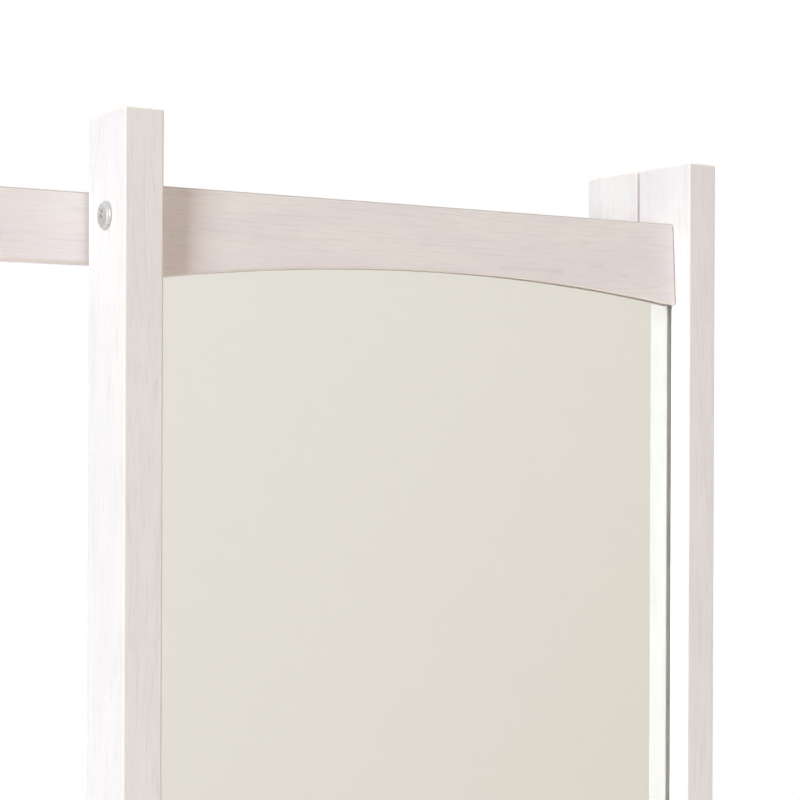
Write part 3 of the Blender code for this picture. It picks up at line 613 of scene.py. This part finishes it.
# Wet fibres pressed hot against a smooth plate: a felt of light and dark brown threads with a dull gloss.
hardboard, tree, surface = new_material("pressed_hardboard")
place = add(tree, "ShaderNodeTexCoord").outputs["Object"]
felt = add(tree, "ShaderNodeTexNoise", {
    "Vector": place, "Scale": 1 / HARDBOARD_FIBRE,
    "Detail": 5.0, "Roughness": 0.7, "Distortion": 2.0}).outputs["Fac"]
dark, light = HARDBOARD_SPAN
fibre = add(tree, "ShaderNodeMapRange", {
    "Value": felt, "From Min": dark, "From Max": light}).outputs["Result"]
colour = add(tree, "ShaderNodeMix", {
    MIX_FACTOR: fibre, MIX_A: "#7D5E45", MIX_B: "#A3825F"}, data_type="RGBA").outputs[MIX_RESULT]
tree.links.new(colour, surface.inputs["Base Color"])
surface.inputs["Roughness"].default_value = 0.55
relief = add(tree, "ShaderNodeBump", {
    "Height": felt, "Distance": HARDBOARD_RELIEF, "Strength": RELIEF_STRENGTH}).outputs[0]
tree.links.new(relief, surface.inputs["Normal"])
backing = finish_solid("backing_board", hardboard)
print("made", backing.name)

# %% Zinc plated steel
PLATING_GRAIN = 0.8 * MM              # real plating is finer grained, and is drawn coarser to show
PLATING_ROUGHNESS = (0.24, 0.32)

# Plated in a bath on forged or rolled steel: a cool, even grey whose shine is soft and slightly cloudy.
zinc, tree, surface = new_material("zinc_plated_steel")
place = add(tree, "ShaderNodeTexCoord").outputs["Object"]
cloud = add(tree, "ShaderNodeTexNoise", {
    "Vector": place, "Scale": 1 / PLATING_GRAIN, "Detail": 3.0}).outputs["Fac"]
colour = add(tree, "ShaderNodeMix", {
    MIX_FACTOR: cloud, MIX_A: "#CDD0D0", MIX_B: "#DCDFDF"}, data_type="RGBA").outputs[MIX_RESULT]
tree.links.new(colour, surface.inputs["Base Color"])
smooth, rough = PLATING_ROUGHNESS
gloss = add(tree, "ShaderNodeMapRange", {"Value": cloud, "To Min": smooth, "To Max": rough})
tree.links.new(gloss.outputs["Result"], surface.inputs["Roughness"])
surface.inputs["Metallic"].default_value = 1.0
fittings = sorted(node for node in frame["nodes"] if "_nut" in node or "_hinge_" in node)
for node in fittings:
    finish_solid(node, zinc)
print(f"{len(fittings)} steel fittings")

# %% Moulded plastic
PLASTIC_TEXTURE = 0.9 * MM            # real pits are finer, and are drawn coarser to show
PLASTIC_RELIEF = 0.03 * MM

# Pressed into a roughened mould, which leaves fine pits: an even grey with a dull, broken shine.
plastic, tree, surface = new_material("moulded_grey_plastic")
place = add(tree, "ShaderNodeTexCoord").outputs["Object"]
pits = add(tree, "ShaderNodeTexNoise", {
    "Vector": place, "Scale": 1 / PLASTIC_TEXTURE, "Detail": 2.0}).outputs["Fac"]
colour = add(tree, "ShaderNodeMix", {
    MIX_FACTOR: pits, MIX_A: "#9A9895", MIX_B: "#A6A4A1"}, data_type="RGBA").outputs[MIX_RESULT]
tree.links.new(colour, surface.inputs["Base Color"])
surface.inputs["Roughness"].default_value = 0.5
relief = add(tree, "ShaderNodeBump", {
    "Height": pits, "Distance": PLASTIC_RELIEF, "Strength": RELIEF_STRENGTH}).outputs[0]
tree.links.new(relief, surface.inputs["Normal"])
glides = sorted(node for node in frame["nodes"] if node.startswith("glide_"))
for node in glides:
    finish_solid(node, plastic)
print(f"{len(glides)} glides")

# %% [markdown]
# ## Bolts
# Ten bolts with wide round heads hold the two frames and the feet together. A head like this is forged: a
# thin flange, a flat dome with a round shoulder, and a cross-shaped recess pressed into its top. The solids
# hold its plain shape. Here the head is turned from a finer outline, the recess is cut with tapering walls,
# and the shank gets its thread. A thread can be swept along a helix, but its ends are hard to close. So the
# shank is a plain tube of rings, and each point is moved in or out by where it lies on the thread's slope,
# which leaves the tube closed.

# %% Turned shapes
def turned(outline, sides):
    """A closed shape turned about Z from points (radius, height) that start and end on the axis."""
    shape = bmesh.new()
    turns = [2 * math.pi * i / sides for i in range(sides)]
    rings = []
    for radius, height in outline:
        points = [(0, 0, height)]
        if radius > 0:
            points = [(radius * math.cos(t), radius * math.sin(t), height) for t in turns]
        rings.append([shape.verts.new(point) for point in points])
    for upper, lower in zip(rings, rings[1:]):
        for i in range(sides):
            steps = ((upper, i), (upper, i + 1), (lower, i + 1), (lower, i))
            corners = [ring[step % len(ring)] for ring, step in steps]
            shape.faces.new(list(dict.fromkeys(corners)))
    bmesh.ops.recalc_face_normals(shape, faces=shape.faces)
    return shape


cone = turned([(0, 0), (1, 1), (0, 1)], 8)
print("a cone has", len(cone.faces), "faces when it has 8 sides")
cone.free()

# %% Bolt sizes
BOLT_SIDES = 48
SOLID_HEAD_HEIGHT = 3.8 * MM     # the plain head's, up to which the finer one may reach
HEAD_RADIUS = 7.2 * MM
FLANGE_THICKNESS = 0.9 * MM
FLANGE_ROUND = 0.25 * MM
DOME_RADIUS = 6.6 * MM
DOME_HEIGHT = 1.9 * MM
DOME_POWER = 2.8                 # 2 draws a round dome, and more draws a flatter top and a rounder shoulder
DOME_STEPS = 16
HEAD_HEIGHT = FLANGE_THICKNESS + DOME_HEIGHT
SHANK_RADIUS = 3.0 * MM
SHANK_TIP = 0.6 * MM
THREAD_PITCH = 1.0 * MM
THREAD_DEPTH = 0.55 * MM
THREAD_LENGTH = 30 * MM
THREAD_STEPS = 4                 # rings for each turn of the thread


def head_outline():
    """The head's outline from its top to its bearing face, which lies at height 0."""
    outline = []
    for step in range(DOME_STEPS + 1):
        reach = math.sin(math.pi / 2 * step / DOME_STEPS)
        height = FLANGE_THICKNESS + DOME_HEIGHT * (1 - reach ** DOME_POWER) ** (1 / DOME_POWER)
        outline.append((DOME_RADIUS * reach, -height))
    outline.append((HEAD_RADIUS - FLANGE_ROUND, -FLANGE_THICKNESS))
    outline.append((HEAD_RADIUS, FLANGE_ROUND - FLANGE_THICKNESS))
    return outline + [(HEAD_RADIUS, -FLANGE_ROUND), (HEAD_RADIUS - FLANGE_ROUND, 0)]


def shank_outline(length):
    """The shank's outline from the bearing face to its tip, with rings close enough for the thread."""
    rings = round(THREAD_LENGTH / THREAD_PITCH * THREAD_STEPS)
    start = length - SHANK_TIP - THREAD_LENGTH
    outline = [(SHANK_RADIUS, 0)]
    outline += [(SHANK_RADIUS, start + THREAD_LENGTH * i / rings) for i in range(rings + 1)]
    return outline + [(SHANK_RADIUS - SHANK_TIP, length), (0, length)]


print(f"the head is {2 * HEAD_RADIUS / MM:.1f} mm across and {HEAD_HEIGHT / MM:.1f} mm high")

# %% Thread and recess
RECESS_TOP = (5.4 * MM, 1.5 * MM)       # length and width of an arm at the top of the head
RECESS_FLOOR = (2.4 * MM, 0.9 * MM)
RECESS_DEPTH = 1.8 * MM
RECESS_START_ABOVE = 0.18 * MM          # how far above the head the cut begins


def cut_thread(shape, length):
    """Draws the shank's points in along a helix."""
    start = length - SHANK_TIP - THREAD_LENGTH
    for point in shape.verts:
        if start < point.co.z < start + THREAD_LENGTH:
            turn = point.co.z / THREAD_PITCH - math.atan2(point.co.y, point.co.x) / (2 * math.pi)
            depth = THREAD_DEPTH * abs(2 * (turn % 1.0) - 1)
            point.co.xy *= 1 - depth / SHANK_RADIUS


def recess_arm(angle):
    """One tapering arm of the cross, above and into the top of the head."""
    shape = bmesh.new()
    bmesh.ops.create_cube(shape, size=2.0)
    for point in shape.verts:
        length, width = RECESS_FLOOR if point.co.z > 0 else RECESS_TOP
        height = RECESS_DEPTH - HEAD_HEIGHT if point.co.z > 0 else -HEAD_HEIGHT - RECESS_START_ABOVE
        point.co = Vector((point.co.x * length / 2, point.co.y * width / 2, height))
    bmesh.ops.rotate(shape, verts=shape.verts, matrix=Matrix.Rotation(angle, 3, "Z"))
    return to_mesh("recess_arm", shape)


print(f"a thread of {THREAD_LENGTH / THREAD_PITCH:.0f} turns and a recess {RECESS_DEPTH / MM:.1f} mm deep")

# %% All bolts
RECESS_START, RECESS_TURN = math.radians(40), math.radians(37)       # no two bolts stop at the same angle
BOLT_DIRECTION = {"left": Vector((1, 0, 0)), "right": Vector((-1, 0, 0)), "bolt": Vector((0, 0, 1))}


def cut(mesh, tools):
    """The mesh with the tools cut away. What this takes is removed again."""
    body = bpy.data.objects.new("cut_body", mesh)
    scene.collection.objects.link(body)
    helpers = [body]
    for tool in tools:
        helper = bpy.data.objects.new("cut_tool", tool)
        scene.collection.objects.link(helper)
        helpers.append(helper)
        step = body.modifiers.new("cut", "BOOLEAN")
        step.object = helper
        step.solver = "EXACT"
    result = bpy.data.meshes.new_from_object(body.evaluated_get(bpy.context.evaluated_depsgraph_get()))
    for helper in helpers:
        spent = helper.data
        bpy.data.objects.remove(helper)
        bpy.data.meshes.remove(spent)
    return result


def bolt_mesh(name, length, angle):
    """A bolt along +Z, with its bearing face at height 0 and its recess turned by an angle."""
    shape = turned(head_outline() + shank_outline(length), BOLT_SIDES)
    cut_thread(shape, length)
    mesh = cut(to_mesh(name, shape), [recess_arm(angle), recess_arm(angle + math.pi / 2)])
    mesh.name = name
    return mesh


bolts = sorted(node for node in frame["nodes"] if "_bolt" in node)
for count, node in enumerate(bolts):
    low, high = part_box(node)
    direction = BOLT_DIRECTION[node.split("_")[-1]]
    span = abs((high - low).dot(direction))
    seat = (low + high) / 2 - direction * (span / 2 - SOLID_HEAD_HEIGHT)
    mesh = bolt_mesh(f"{node}_finished", span - SOLID_HEAD_HEIGHT, RECESS_START + RECESS_TURN * count)
    mesh.transform(direction.to_track_quat("Z", "Y").to_matrix().to_4x4())
    place_piece(f"{node}_finished", mesh, seat, node, zinc)
print(f"{len(bolts)} bolts")
